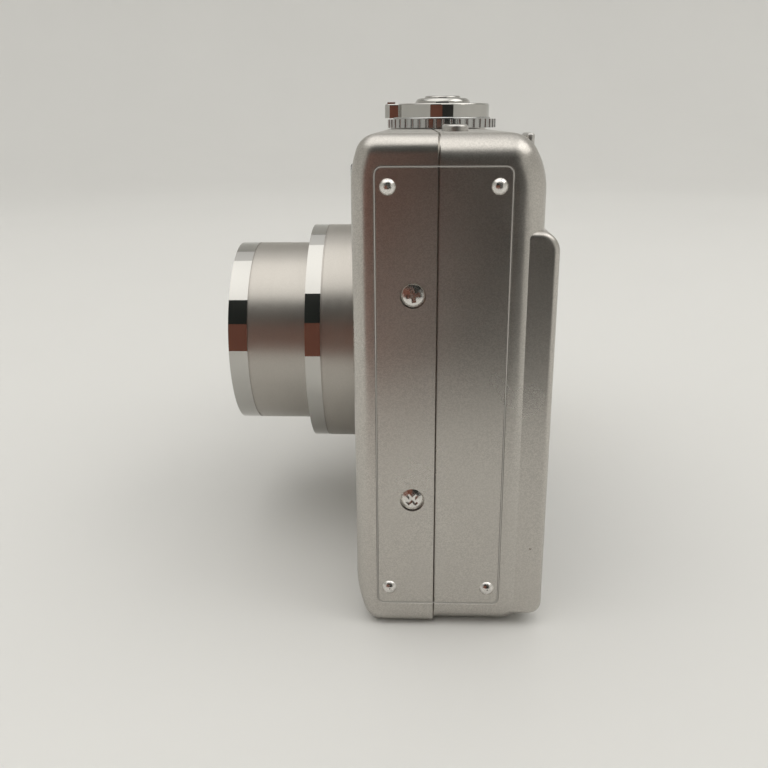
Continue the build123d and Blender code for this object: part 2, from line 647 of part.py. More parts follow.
def barrier_blade(side):
    """Half-round blade on its pivot, at rest swung clear of the opening; side 1 is the upper one."""
    pivot = Vector(LENS_X - side * BLADE_PIVOT, 0, LENS_Z)
    with BuildPart() as blade:
        with BuildSketch(lens_plane(-28.25)):
            Circle(BLADE_R)
            with Locations((-side * 8.6, side * 1.0)):
                Rectangle(5.0, 2.0)
            with Locations((0, -side * BLADE_R)):
                Rectangle(4 * BLADE_R, 2 * BLADE_R + 0.1, mode=Mode.SUBTRACT)
            with Locations((-side * BLADE_PIVOT, 0)):
                Circle(1.5)
                Circle(0.5, mode=Mode.SUBTRACT)
        extrude(amount=0.4)
    opened = blade.part.rotate(Axis(pivot, (0, -1, 0)), BLADE_SWING)
    with BuildPart() as placed:
        add(opened)
    return placed


save(barrier_blade(1), "upper_barrier_blade")
save(barrier_blade(-1), "lower_barrier_blade")

# ---------------------------------------------------------------- lens: focus group

with BuildPart() as focus_lens_frame:
    with BuildSketch(lens_plane(5.6)):
        Circle(12.2)
        Circle(5.0, mode=Mode.SUBTRACT)
    extrude(amount=0.8)
    block((LENS_X + 11.0, FOCUS_SCREW[0]), (5.0, 5.6), (LENS_Z - 1.6, LENS_Z + 1.6))
    rod_y(FOCUS_SCREW[0], (5.0, 5.6), FOCUS_SCREW[1], 1.9)
    rod_y(FOCUS_SCREW[0], (0, 8), FOCUS_SCREW[1], 0.85, Mode.SUBTRACT)
    for angle in ROD_ANGLES:
        x, z = lens_point(ROD_CIRCLE, angle)
        rod_y(x, (3.2, 5.6), z, 1.3)
        rod_y(x, (3.0, 6.0), z, 0.56, Mode.SUBTRACT)
save(focus_lens_frame, "focus_lens_frame")

with BuildPart() as focus_lens:
    rod_y(LENS_X, (3.5, 5.5), LENS_Z, 4.98)
    with Locations((LENS_X, FOCUS_LENS_APEX + FOCUS_LENS_CURVE, LENS_Z)):
        Sphere(FOCUS_LENS_CURVE, mode=Mode.INTERSECT)
save(focus_lens, "focus_lens")

with BuildPart() as guide_rods:
    for angle in ROD_ANGLES:
        x, z = lens_point(ROD_CIRCLE, angle)
        rod_y(x, (1.0, SENSOR_PLATE_Y), z, 0.5)
save(guide_rods, "guide_rods")

with BuildPart() as focus_motor:
    rod_y(FOCUS_SCREW[0], (-8.2, -3.0), FOCUS_SCREW[1], 3.0)
    rod_y(FOCUS_SCREW[0], (-3.0, SENSOR_PLATE_Y), FOCUS_SCREW[1], 0.75)
save(focus_motor, "focus_motor")

# ---------------------------------------------------------------- zoom gears

PINION_PHASE = PINION_ANGLE + 180 + 180 / PINION_TEETH
pinion_to_idler = round((TRAIN_ANGLE - PINION_PHASE) * PINION_TEETH / 360) * 360 / PINION_TEETH + PINION_PHASE
IDLER_PHASE = (TRAIN_ANGLE + 180 + 180 / IDLER_TEETH
               + (TRAIN_ANGLE - pinion_to_idler) * PINION_TEETH / IDLER_TEETH)
idler_to_motor = round((TRAIN_ANGLE - IDLER_PHASE) * IDLER_TEETH / 360) * 360 / IDLER_TEETH + IDLER_PHASE
MOTOR_PHASE = (TRAIN_ANGLE + 180 + 180 / MOTOR_TEETH
               + (TRAIN_ANGLE - idler_to_motor) * IDLER_TEETH / MOTOR_TEETH)

long_pinion = spur_gear(PINION_XZ, PINION_TEETH, PINION_PHASE, (-6.6, 6.2), PIN_R + 0.05)
save(long_pinion, "long_pinion")

idler_gear = spur_gear(IDLER_XZ, IDLER_TEETH, IDLER_PHASE, (4.7, 6.0), PIN_R + 0.05)
save(idler_gear, "idler_gear")

with BuildPart() as motor_pinion:
    add(spur_gear(MOTOR_XZ, MOTOR_TEETH, MOTOR_PHASE, (4.7, 6.0), 0).part)
    rod_y(MOTOR_XZ[0], (2.8, 4.7), MOTOR_XZ[1], 0.5)
save(motor_pinion, "motor_pinion")

with BuildPart() as zoom_motor:
    rod_y(MOTOR_XZ[0], (-7.4, 4.05), MOTOR_XZ[1], 4.5)
    fillet(zoom_motor.edges().sort_by(Axis.Y)[0], 0.6)
    rod_y(MOTOR_XZ[0], (2.6, 4.1), MOTOR_XZ[1], 0.55, Mode.SUBTRACT)
save(zoom_motor, "zoom_motor")

with BuildPart() as gear_plate:
    block((24.6, 42.2), (4.05, 4.45), (5.2, 18.5))
    rod_y(MOTOR_XZ[0], (4.0, 4.5), MOTOR_XZ[1], 0.8, Mode.SUBTRACT)
    rod_y(IDLER_XZ[0], (4.05, SENSOR_PLATE_Y), IDLER_XZ[1], PIN_R)
    for z in (6.2, 17.4):
        rod_y(41.2, (4.05, SENSOR_PLATE_Y), z, 0.8)
save(gear_plate, "gear_plate")

# ---------------------------------------------------------------- flash and focus lamp

flash_mid = sum(FLASH_X) / 2
flash_z = sum(FLASH_Z) / 2

with BuildPart() as flash_window:
    with BuildSketch(front_plane(-8.7)):
        with Locations((flash_mid, flash_z)):
            RectangleRounded(FLASH_X[1] - FLASH_X[0] - 0.1, FLASH_Z[1] - FLASH_Z[0] - 0.1, 0.95)
    extrude(amount=-8.7 - FLASH_FRONT)
    fillet(flash_window.faces().sort_by(Axis.Y)[0].edges(), 0.3)
save(flash_window, "flash_window")

with BuildPart() as flash_reflector:
    block((FLASH_X[0] + 0.4, FLASH_X[1] - 0.4), (-8.7, -3.6), (FLASH_Z[0] + 0.4, FLASH_Z[1] - 0.4))
    with BuildSketch(end_plane(FLASH_X[0] + 1.2)):
        with BuildLine():
            Polyline((-8.7, flash_z - 3.6), (-8.7, flash_z + 3.6), (-5.6, flash_z + 2.0), (-4.4, flash_z),
                     (-5.6, flash_z - 2.0), close=True)
        make_face()
    extrude(amount=FLASH_X[1] - FLASH_X[0] - 2.4, mode=Mode.SUBTRACT)
    rod_x((FLASH_X[0], FLASH_X[1]), -6.2, flash_z, 1.05, Mode.SUBTRACT)
save(flash_reflector, "flash_reflector")

with BuildPart() as flash_tube:
    rod_x((FLASH_X[0] + 0.1, FLASH_X[1] - 0.1), -6.2, flash_z, 1.0)
save(flash_tube, "flash_tube")

with BuildPart() as flash_capacitor:
    rod_z(38.6, -3.6, (20.6, 40.4), 4.0)
    fillet(flash_capacitor.edges(), 0.5)
save(flash_capacitor, "flash_capacitor")

with BuildPart() as focus_lamp:
    rod_y(LAMP_XZ[0], (-10.15, -6.5), LAMP_XZ[1], 2.1)
    fillet(focus_lamp.edges().sort_by(Axis.Y)[0], 0.5)
save(focus_lamp, "focus_lamp")

# ---------------------------------------------------------------- top controls

with BuildPart() as shutter_button:
    with BuildSketch(top_plane(62.0, *SHUTTER_XY)):
        Circle(5.2)
    extrude(amount=3.3)
    fillet(shutter_button.edges().group_by(Axis.Z)[-1], 1.0)
    rod_z(*SHUTTER_XY, (65.0, 65.7), 3.4)
    fillet(shutter_button.edges().group_by(Axis.Z)[-1], 0.35)
    rod_z(*SHUTTER_XY, (57.6, 62.1), 2.0)
save(shutter_button, "shutter_button")

with BuildPart() as zoom_lever:
    with BuildSketch(top_plane(61.75, *SHUTTER_XY)) as lever_outline:
        Circle(8.8)
        with Locations((0, -8.6)):
            RectangleRounded(5.4, 4.6, 1.2)
        fillet([v for v in lever_outline.vertices() if v.Y > SHUTTER_XY[1] - 9.2], 0.8)
        Circle(5.4, mode=Mode.SUBTRACT)
    extrude(amount=2.55)
    fillet(zoom_lever.edges().group_by(Axis.Z)[-1], 0.3)
    for offset_x in (-2.0, -1.0, 0, 1.0, 2.0):
        rib_x = SHUTTER_XY[0] + offset_x
        block((rib_x - 0.25, rib_x + 0.25), (SHUTTER_XY[1] - 10.4, SHUTTER_XY[1] - 9.0), (64.0, 64.6))
    with BuildSketch(top_plane(58.0, *SHUTTER_XY)):
        Circle(6.05)
        Circle(5.4, mode=Mode.SUBTRACT)
    extrude(amount=3.8)
save(zoom_lever, "zoom_lever")

with BuildPart() as mode_dial:
    with BuildSketch(top_plane(60.15, *DIAL_XY)):
        Circle(DIAL_R)
        with PolarLocations(DIAL_R + 0.05, 44):
            Circle(0.3, mode=Mode.SUBTRACT)
    extrude(amount=1.35)
    with BuildSketch(top_plane(61.5, *DIAL_XY)):
        Circle(DIAL_R - 0.9)
    extrude(amount=0.3)
    fillet(mode_dial.edges().group_by(Axis.Z)[-1], 0.25)
    rod_z(*DIAL_XY, (57.2, 60.2), 2.6)
save(mode_dial, "mode_dial")

with BuildPart() as power_button:
    with BuildSketch(top_plane(57.0)):
        with Locations(POWER_XY):
            SlotOverall(9.0, 3.1)
    extrude(amount=3.8)
    fillet(power_button.faces().sort_by(Axis.Z)[-1].edges(), 0.35)
    block((POWER_XY[0] - 5.2, POWER_XY[0] + 5.2), (POWER_XY[1] - 1.4, POWER_XY[1] + 1.4), (57.0, 57.8))
save(power_button, "power_button")

with BuildPart() as print_key:
    with BuildSketch(top_plane(57.5)):
        with Locations(PRINT_XY):
            SlotOverall(*PRINT_SIZE)
    extrude(amount=2.35)
    fillet(print_key.faces().sort_by(Axis.Z)[-1].edges(), 0.35)
save(print_key, "print_key")

# ---------------------------------------------------------------- back keys


def direction_key(name, middle):
    """One of the four sector keys round the set key."""
    with BuildPart() as key:
        with BuildSketch(front_plane(BACK_Y + 0.6, *PAD_XZ)) as cap:
            Circle(PAD_R)
            Circle(SET_R + 0.5, mode=Mode.SUBTRACT)
            with BuildLine():
                reach = 3 * PAD_R
                first = radians(middle - 43)
                last = radians(middle + 43)
                Polyline((0, 0), (reach * cos(first), reach * sin(first)),
                         (reach * cos(last), reach * sin(last)), close=True)
            make_face(mode=Mode.INTERSECT)
            fillet(cap.vertices(), 0.5)
        extrude(amount=BACK_Y + 0.6 - KEY_BACK)
        fillet(key.faces().sort_by(Axis.Y)[-1].edges(), 0.35)
    save(key, name)


for key_name, key_middle in (("up_key", 90), ("left_key", 0), ("down_key", 270), ("right_key", 180)):
    direction_key(key_name, key_middle)


def round_key(name, centre, radius, proud):
    """Round push key."""
    with BuildPart() as key:
        rod_y(centre[0], (KEY_BACK, BACK_Y + proud), centre[1], radius)
        fillet(key.edges().sort_by(Axis.Y)[-1], 0.35)
    save(key, name)


round_key("set_key", PAD_XZ, SET_R, 0.5)
round_key("menu_key", MENU_XZ, SMALL_KEY_R, 0.6)
round_key("playback_key", PLAY_XZ, SMALL_KEY_R, 0.6)

# ---------------------------------------------------------------- battery, card and door

with BuildPart() as battery:
    block(BATTERY_X, BATTERY_Y, BATTERY_Z)
    fillet(battery.edges().filter_by(Axis.Z), 1.0)
save(battery, "battery")

with BuildPart() as battery_case:
    block(CASE_X, (-8.4, 0.2), (2.2, 42.6))
    block((BATTERY_X[0] - 0.1, BATTERY_X[1] + 0.1), (BATTERY_Y[0] - 0.1, BATTERY_Y[1] + 0.1),
          (0, BATTERY_Z[1] + 0.1), Mode.SUBTRACT)
    block((-31.2, -26.8), (BATTERY_Y[1], 1.0), (1.0, 7.2), Mode.SUBTRACT)
    block(CHEEK_X, (DOOR_Y[0] - 0.5, 5.5), (2.1, 3.1))
    block(CHEEK_X, (DOOR_Y[0] - 0.5, DOOR_Y[0] - 0.15), (0.65, 2.2))
    block(CHEEK_X, (DOOR_Y[1] + 0.15, 5.5), (1.35, 2.2))
    rod_y(DOOR_X[1], (DOOR_Y[0] - 0.45, 5.3), DOOR_PIN_Z, DOOR_PIN_R)
    for x in (-24.0, -21.0, -18.0):
        block((x - 0.6, x + 0.6), (-5.2, -3.2), (41.0, 43.0), Mode.SUBTRACT)
save(battery_case, "battery_case")

with BuildPart() as battery_contacts:
    for x in (-24.0, -21.0, -18.0):
        block((x - 0.5, x + 0.5), (-5.1, -3.3), (BATTERY_Z[1], 43.8))
save(battery_contacts, "battery_contacts")

with BuildPart() as battery_latch:
    block((-31.0, -27.0), (-0.7, 0.4), (1.6, 6.8))
    block((-31.0, -27.0), (-1.4, -0.7), (1.6, 2.1))
save(battery_latch, "battery_latch")

with BuildPart() as card_slot:
    block((CARD_X[0] - 0.6, CARD_X[1] + 0.6), (CARD_Y[0] - 0.5, CARD_Y[1] + 0.5), (5.0, 38.0))
    block((CARD_X[0] - 0.15, CARD_X[1] + 0.15), (CARD_Y[0] - 0.15, CARD_Y[1] + 0.15), (4.0, 37.4),
          Mode.SUBTRACT)
save(card_slot, "card_slot")

with BuildPart() as memory_card:
    with BuildSketch(front_plane(CARD_Y[1])) as outline:
        with Locations(((CARD_X[0] + CARD_X[1]) / 2, (CARD_Z[0] + CARD_Z[1]) / 2)):
            Rectangle(CARD_X[1] - CARD_X[0], CARD_Z[1] - CARD_Z[0])
        chamfer(outline.vertices().group_by(Axis.Z)[-1].sort_by(Axis.X)[0], 4.0)
    extrude(amount=CARD_Y[1] - CARD_Y[0])
save(memory_card, "memory_card")

with BuildPart() as battery_door:
    block(DOOR_X, DOOR_Y, (0.15, 1.35))
    rod_y(DOOR_X[1], DOOR_Y, DOOR_PIN_Z, KNUCKLE_R)
    fillet(battery_door.faces().sort_by(Axis.X)[0].edges().filter_by(Axis.Z), 1.0)
    block((LATCH_X[0] - 0.2, LATCH_X[1] + 1.7), (LATCH_Y[0] - 0.2, LATCH_Y[1] + 0.2), (0, 2), Mode.SUBTRACT)
    rod_y(DOOR_X[1], (DOOR_Y[0] - 1, DOOR_Y[1] + 1), DOOR_PIN_Z, DOOR_PIN_R + 0.05, Mode.SUBTRACT)
    for index in range(7):
        rib_x = -31.0 + 1.2 * index
        block((rib_x, rib_x + 0.5), (-4.5, 1.5), (0.1, 0.35), Mode.SUBTRACT)
save(battery_door, "battery_door")

with BuildPart() as door_latch:
    block(LATCH_X, LATCH_Y, (0.3, 1.35))
    for index in range(4):
        rib_x = LATCH_X[0] + 0.6 + 1.15 * index
        block((rib_x, rib_x + 0.5), (LATCH_Y[0], LATCH_Y[1]), (0.2, 0.55), Mode.SUBTRACT)
save(door_latch, "door_latch")

# ---------------------------------------------------------------- tripod thread, strap, connector

with BuildPart() as tripod_socket:
    rod_z(*TRIPOD_XY, (0, 6.6), TRIPOD_SOCKET_R)
    rod_z(*TRIPOD_XY, (WALL, WALL + 0.9), 4.55)
    rod_z(*TRIPOD_XY, (-0.5, 5.5), TRIPOD_R, Mode.SUBTRACT)
save(tripod_socket, "tripod_socket")

with BuildPart() as strap_eyelet:
    with BuildSketch(front_plane(EYELET_YZ[0] + 0.6, 0, EYELET_YZ[1])):
        with Locations((-HALF - 0.7, 0)):
            RectangleRounded(4.2, 7.0, 1.3)
            RectangleRounded(2.0, 4.6, 0.7, mode=Mode.SUBTRACT)
        with Locations((-HALF + 2.0, 0)):
            Rectangle(4.0, 8.0, mode=Mode.SUBTRACT)
        with Locations((-HALF - 0.15, 0)):
            Rectangle(0.3, 8.4)
    extrude(amount=1.2)
    fillet(strap_eyelet.edges().group_by(Axis.X)[0], 0.3)
save(strap_eyelet, "strap_eyelet")

with BuildPart() as connector:
    block((-44.0, -37.6), (2.0, 5.6), (44.6, 51.6))
    block((-44.5, -38.6), (2.35, 5.25), (44.95, 51.25), Mode.SUBTRACT)
    block((-43.2, -38.6), (3.5, 4.1), (45.8, 50.4))
save(connector, "connector")

with BuildPart() as connector_cover:
    cover_x = (COVER_PIN_X - COVER_KNUCKLE_R, COVER_PIN_X + 0.35)
    block(cover_x, COVER_Y, COVER_Z)
    rod_z(COVER_PIN_X, COVER_Y[1], COVER_Z, COVER_KNUCKLE_R)
    rod_z(COVER_PIN_X, COVER_Y[1], (COVER_Z[0] - 0.5, COVER_Z[1] + 0.5), 0.25)
    fillet(connector_cover.faces().sort_by(Axis.Y)[0].edges().filter_by(Axis.X), 0.8)
save(connector_cover, "connector_cover")

# ---------------------------------------------------------------- screws and studs


def end_screw(side, z, first_turn):
    """Pan-head case screw along X in an end, the arms of its cross turned by the given angle."""
    dome = [(SCREW_TOP - SCREW_DOME_R + sqrt(SCREW_DOME_R**2 - r**2), r)
            for r in (0, SCREW_HEAD_R / 2, SCREW_HEAD_R)]
    with BuildPart() as screw:
        with BuildSketch(Plane(origin=(0, SCREW_Y, z), x_dir=(side, 0, 0), z_dir=(0, -side, 0))):
            with BuildLine():
                ThreePointArc(*dome)
                Polyline(dome[-1], (SCREW_SEAT, SCREW_HEAD_R), (SCREW_SEAT, 0), dome[0])
            make_face()
        revolve(axis=Axis((0, SCREW_Y, z), (1, 0, 0)))
        rod_x(sorted((side * 42.8, side * (SCREW_SEAT + 0.05))), SCREW_Y, z, SCREW_SHANK_R)
        for turn in (first_turn, first_turn + 90):
            with Locations((side * SCREW_TOP, SCREW_Y, z)):
                Box(2 * CROSS_DEPTH, 2 * CROSS_REACH, CROSS_WIDTH, rotation=(turn, 0, 0), mode=Mode.SUBTRACT)
    return screw


end_screws = [end_screw(side, z, turn) for side in (-1, 1) for z, turn in zip(SCREW_Z, CROSS_TURNS)]

with BuildPart() as case_screws:
    for screw in end_screws:
        add(screw.part)
    for x, y in BASE_SCREWS:
        rod_z(x, y, (0.3, 0.9), SCREW_HEAD_R)
        rod_z(x, y, (0.8, 4.0), SCREW_SHANK_R)
        for reach_x, reach_y in ((CROSS_REACH, CROSS_WIDTH / 2), (CROSS_WIDTH / 2, CROSS_REACH)):
            block((x - reach_x, x + reach_x), (y - reach_y, y + reach_y), (0.0, 0.75), Mode.SUBTRACT)
save(case_screws, "case_screws")


def stud(side, y, z):
    """Domed stud on an end, on a short stem in the wall."""
    dome = [(HALF + STUD_RISE - STUD_DOME_R + sqrt(STUD_DOME_R**2 - r**2), r) for r in (0, STUD_R / 2, STUD_R)]
    with BuildPart() as piece:
        with BuildSketch(Plane(origin=(0, y, z), x_dir=(side, 0, 0), z_dir=(0, -side, 0))):
            with BuildLine():
                ThreePointArc(*dome)
                Polyline(dome[-1], (HALF, STUD_STEM_R), (HALF - 0.8, STUD_STEM_R), (HALF - 0.8, 0), dome[0])
            make_face()
        revolve(axis=Axis((0, y, z), (1, 0, 0)))
    return piece


studs = [stud(side, y, z) for side in (-1, 1) for y in STUD_Y for z in STUD_Z]

with BuildPart() as end_studs:
    for piece in studs:
        add(piece.part)
save(end_studs, "end_studs")
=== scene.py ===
import json
from math import cos, pi, radians, sin

import bmesh
import bpy
from mathutils import Matrix, Vector


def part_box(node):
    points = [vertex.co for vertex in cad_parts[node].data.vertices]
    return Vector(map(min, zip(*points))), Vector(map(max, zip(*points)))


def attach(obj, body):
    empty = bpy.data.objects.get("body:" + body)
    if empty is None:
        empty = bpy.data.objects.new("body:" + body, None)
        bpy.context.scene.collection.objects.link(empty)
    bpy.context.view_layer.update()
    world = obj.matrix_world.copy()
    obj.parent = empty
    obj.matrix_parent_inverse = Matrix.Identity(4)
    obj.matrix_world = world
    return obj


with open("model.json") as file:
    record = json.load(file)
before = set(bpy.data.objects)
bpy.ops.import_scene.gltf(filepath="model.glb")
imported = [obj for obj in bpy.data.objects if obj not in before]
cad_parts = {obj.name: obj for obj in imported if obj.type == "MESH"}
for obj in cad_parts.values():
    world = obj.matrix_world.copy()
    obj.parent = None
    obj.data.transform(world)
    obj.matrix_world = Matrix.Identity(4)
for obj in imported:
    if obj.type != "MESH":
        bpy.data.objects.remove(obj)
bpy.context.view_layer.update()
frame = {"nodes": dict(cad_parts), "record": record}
nodes = frame["nodes"]

MM = 0.001


# ---------------------------------------------------------------- helpers


def placed(name, data):
    """New object in the scene."""
    made = bpy.data.objects.new(name, data)
    bpy.context.scene.collection.objects.link(made)
    return made


class Shader:
    """A material under construction: its principled shader and short ways to add nodes."""

    def __init__(self, name, colour, metallic=0.0, roughness=0.5, **sockets):
        self.material = bpy.data.materials.new(name)
        self.material.use_nodes = True
        self.tree = self.material.node_tree
        self.bsdf = self.tree.nodes["Principled BSDF"]
        self.bsdf.inputs["Base Color"].default_value = (*colour, 1.0)
        self.bsdf.inputs["Metallic"].default_value = metallic
        self.bsdf.inputs["Roughness"].default_value = roughness
        for socket, value in sockets.items():
            self.bsdf.inputs[socket.replace("_", " ")].default_value = value
        self.coordinates = self.tree.nodes.new("ShaderNodeTexCoord").outputs["Object"]
        self.normal = None

    def node(self, kind, **values):
        """New shader node with some of its settings."""
        made = self.tree.nodes.new(kind)
        for key, value in values.items():
            setattr(made, key, value)
        return made

    def link(self, source, target):
        self.tree.links.new(source, target)

    def noise(self, scale, detail=3.0, rough=0.5, stretch=None):
        """Noise with features about 1/scale metres across."""
        texture = self.node("ShaderNodeTexNoise")
        texture.inputs["Scale"].default_value = scale
        texture.inputs["Detail"].default_value = detail
        texture.inputs["Roughness"].default_value = rough
        source = self.coordinates
        if stretch:
            mapping = self.node("ShaderNodeMapping")
            mapping.inputs["Scale"].default_value = stretch
            self.link(source, mapping.inputs["Vector"])
            source = mapping.outputs["Vector"]
        self.link(source, texture.inputs["Vector"])
        return texture.outputs["Fac"]

    def cells(self, scale, feature="F1"):
        """Voronoi cells about 1/scale metres across, as a texture node."""
        texture = self.node("ShaderNodeTexVoronoi", feature=feature)
        texture.inputs["Scale"].default_value = scale
        self.link(self.coordinates, texture.inputs["Vector"])
        return texture

    def ramp(self, source, low, high, low_value=0.0, high_value=1.0):
        """Smooth step of a value from low to high, going from low_value to high_value."""
        ramp = self.node("ShaderNodeMapRange", interpolation_type="SMOOTHSTEP")
        limits = (("From Min", low), ("From Max", high), ("To Min", low_value), ("To Max", high_value))
        for socket, value in limits:
            ramp.inputs[socket].default_value = value
        self.link(source, ramp.inputs["Value"])
        return ramp.outputs["Result"]

    def math(self, operation, first, second):
        """Arithmetic on two sockets, or on a socket and a number."""
        made = self.node("ShaderNodeMath", operation=operation)
        for socket, value in zip(made.inputs, (first, second)):
            if isinstance(value, (int, float)):
                socket.default_value = value
            else:
                self.link(value, socket)
        return made.outputs["Value"]

    def mix(self, factor, first, second):
        """Blend of two colours or colour sockets."""
        made = self.node("ShaderNodeMix", data_type="RGBA")
        self.link(factor, made.inputs["Factor"])
        for socket, value in ((made.inputs["A"], first), (made.inputs["B"], second)):
            if isinstance(value, tuple):
                socket.default_value = (*value, 1.0)
            else:
                self.link(value, socket)
        return made.outputs["Result"]

    def place(self, axis):
        """One coordinate of the object's own frame, in metres."""
        split = self.node("ShaderNodeSeparateXYZ")
        self.link(self.coordinates, split.inputs["Vector"])
        return split.outputs[axis]

    def bump(self, height, distance):
        """Adds a height, in metres at height 1, to the surface."""
        made = self.node("ShaderNodeBump")
        made.inputs["Strength"].default_value = 1.0
        made.inputs["Distance"].default_value = distance
        self.link(height, made.inputs["Height"])
        if self.normal is not None:
            self.link(self.normal, made.inputs["Normal"])
        self.normal = made.outputs["Normal"]

    def done(self, colour=None, roughness=None):
        """Links what was made and returns the material."""
        if colour is not None:
            self.link(colour, self.bsdf.inputs["Base Color"])
        if roughness is not None:
            self.link(roughness, self.bsdf.inputs["Roughness"])
        if self.normal is not None:
            self.link(self.normal, self.bsdf.inputs["Normal"])
        return self.material


def tint(colour, factor):
    """Lighter or darker shade of a colour."""
    return tuple(min(1.0, channel * factor) for channel in colour)


# ---------------------------------------------------------------- materials

# Grime on the paint starts at the first place and is full at the second, along Y and down Z
GRIME_BACK = (8.5 * MM, 11.5 * MM)
GRIME_LOW = (36 * MM, 8 * MM)
GRIME = (0.16, 0.13, 0.10)

RIB_HEIGHT = 0.08 * MM
TRACK_HEIGHT = 0.02 * MM


def silver_paint(name, colour=(0.50, 0.477, 0.443), roughness=0.30, wear=True):
    """Satin silver paint: flakes under a thin clear coat, fine scratches, grime low on the back."""
    shader = Shader(name, colour, metallic=0.96, roughness=roughness, Coat_Weight=0.10, Coat_Roughness=0.25)
    flake = shader.cells(9000.0).outputs["Color"]
    flake_grey = shader.node("ShaderNodeRGBToBW")
    shader.link(flake, flake_grey.inputs["Color"])
    sparkle = shader.ramp(flake_grey.outputs["Val"], 0.2, 0.8)
    base = shader.mix(sparkle, tint(colour, 0.90), tint(colour, 1.10))
    cloud = shader.ramp(shader.noise(140.0, 4.0), 0.35, 0.65)
    base = shader.mix(cloud, base, shader.mix(sparkle, tint(colour, 0.94), tint(colour, 1.06)))
    rough = shader.ramp(shader.noise(60.0, 5.0), 0.3, 0.7, roughness - 0.03, roughness + 0.05)
    shader.bump(shader.noise(7000.0, 2.0), 0.0035 * MM)
    if wear:
        speck = shader.ramp(shader.noise(900.0, 3.0), 0.70, 0.78)
        edge = shader.ramp(shader.place("Y"), *GRIME_BACK)
        low = shader.ramp(shader.place("Z"), *GRIME_LOW)
        mask = shader.math("MULTIPLY", shader.math("MULTIPLY", speck, edge), low)
        base = shader.mix(mask, base, GRIME)
        scratch = shader.ramp(shader.noise(420.0, 2.0, stretch=(1.0, 1.0, 14.0)), 0.70, 0.76, 0.0, 0.12)
        rough = shader.math("ADD", rough, scratch)
    return shader.done(base, rough)


def barrel_paint(name):
    """Satin silver of the lens barrels, with faint turning marks round them."""
    colour = (0.45, 0.425, 0.39)
    shader = Shader(name, colour, metallic=0.95, roughness=0.33)
    turning = shader.noise(160.0, 2.0, stretch=(1.0, 12.0, 1.0))
    sparkle = shader.ramp(shader.noise(8000.0, 1.0), 0.3, 0.7)
    base = shader.mix(sparkle, tint(colour, 0.96), tint(colour, 1.04))
    rough = shader.ramp(turning, 0.3, 0.7, 0.32, 0.35)
    shader.bump(shader.noise(9000.0, 1.0), 0.0008 * MM)
    return shader.done(base, rough)


def chrome(name, colour=(0.50, 0.49, 0.465), roughness=0.03):
    """Bright plating with faint smears and hairlines."""
    shader = Shader(name, colour, metallic=1.0, roughness=roughness)
    smear = shader.ramp(shader.noise(120.0, 5.0), 0.5, 0.8, roughness, roughness + 0.06)
    hair = shader.ramp(shader.noise(500.0, 2.0, stretch=(1.0, 20.0, 1.0)), 0.68, 0.74, 0.0, 0.08)
    base = shader.mix(shader.ramp(shader.noise(90.0, 3.0), 0.4, 0.7), colour, tint(colour, 0.94))
    shader.bump(shader.noise(300.0, 2.0), 0.002 * MM)
    return shader.done(base, shader.math("ADD", smear, hair))


def steel(name, colour=(0.56, 0.55, 0.53), roughness=0.3, stretch=(1.0, 25.0, 1.0)):
    """Rolled or ground steel with directional grain."""
    shader = Shader(name, colour, metallic=1.0, roughness=roughness)
    grain = shader.noise(400.0, 3.0, stretch=stretch)
    base = shader.mix(shader.ramp(grain, 0.3, 0.7), tint(colour, 0.88), tint(colour, 1.1))
    rough = shader.ramp(grain, 0.3, 0.7, roughness - 0.06, roughness + 0.1)
    shader.bump(grain, 0.003 * MM)
    return shader.done(base, rough)


def plastic(name, colour, roughness=0.45, grain=0.006 * MM):
    """Moulded plastic with a fine spark-eroded texture and slight colour drift."""
    shader = Shader(name, colour, roughness=roughness, IOR=1.5)
    drift = shader.ramp(shader.noise(80.0, 4.0), 0.35, 0.65)
    base = shader.mix(drift, tint(colour, 0.92), tint(colour, 1.08))
    rough = shader.ramp(shader.noise(200.0, 4.0), 0.3, 0.7, roughness - 0.05, roughness + 0.08)
    shader.bump(shader.noise(3500.0, 2.0), grain)
    return shader.done(base, rough)


def gloss(name, colour, roughness=0.06):
    """Polished plastic or lacquer with faint handling marks."""
    shader = Shader(name, colour, roughness=roughness, IOR=1.5, Coat_Weight=0.6, Coat_Roughness=0.03)
    smear = shader.ramp(shader.noise(70.0, 5.0), 0.5, 0.8, roughness, roughness + 0.12)
    drift = shader.ramp(shader.noise(40.0, 3.0), 0.3, 0.7)
    base = shader.mix(drift, tint(colour, 0.9), tint(colour, 1.1))
    shader.bump(shader.noise(150.0, 2.0), 0.001 * MM)
    return shader.done(base, smear)


def coated_glass(name, colour):
    """Glass with a blue-tinted coating and fine dust."""
    shader = Shader(name, colour, roughness=0.0, IOR=1.6, Transmission_Weight=1.0, Coat_Weight=0.5,
                    Coat_Tint=(0.45, 0.50, 1.0, 1.0))
    dust = shader.ramp(shader.noise(2500.0, 2.0), 0.72, 0.8, 0.0, 0.12)
    return shader.done(None, dust)


def ribbed_clear(name):
    """Clear moulding with fine upright ribs, as over a flash tube."""
    shader = Shader(name, (0.86, 0.88, 0.88), roughness=0.08, IOR=1.49, Transmission_Weight=0.85)
    wave = shader.node("ShaderNodeTexWave", bands_direction="X", wave_profile="SIN")
    wave.inputs["Scale"].default_value = 420.0
    shader.link(shader.coordinates, wave.inputs["Vector"])
    shader.bump(wave.outputs["Fac"], RIB_HEIGHT)
    drift = shader.ramp(shader.noise(300.0, 3.0), 0.4, 0.8, 0.05, 0.16)
    return shader.done(None, drift)


def board(name):
    """Green solder mask over faint copper tracks."""
    mask_green = (0.02, 0.13, 0.06)
    shader = Shader(name, mask_green, roughness=0.3)
    track = shader.ramp(shader.cells(600.0, "DISTANCE_TO_EDGE").outputs["Distance"], 0.02, 0.06)
    base = shader.mix(track, (0.10, 0.30, 0.14), mask_green)
    shader.bump(track, TRACK_HEIGHT)
    return shader.done(base, shader.ramp(shader.noise(500.0), 0.3, 0.7, 0.25, 0.4))


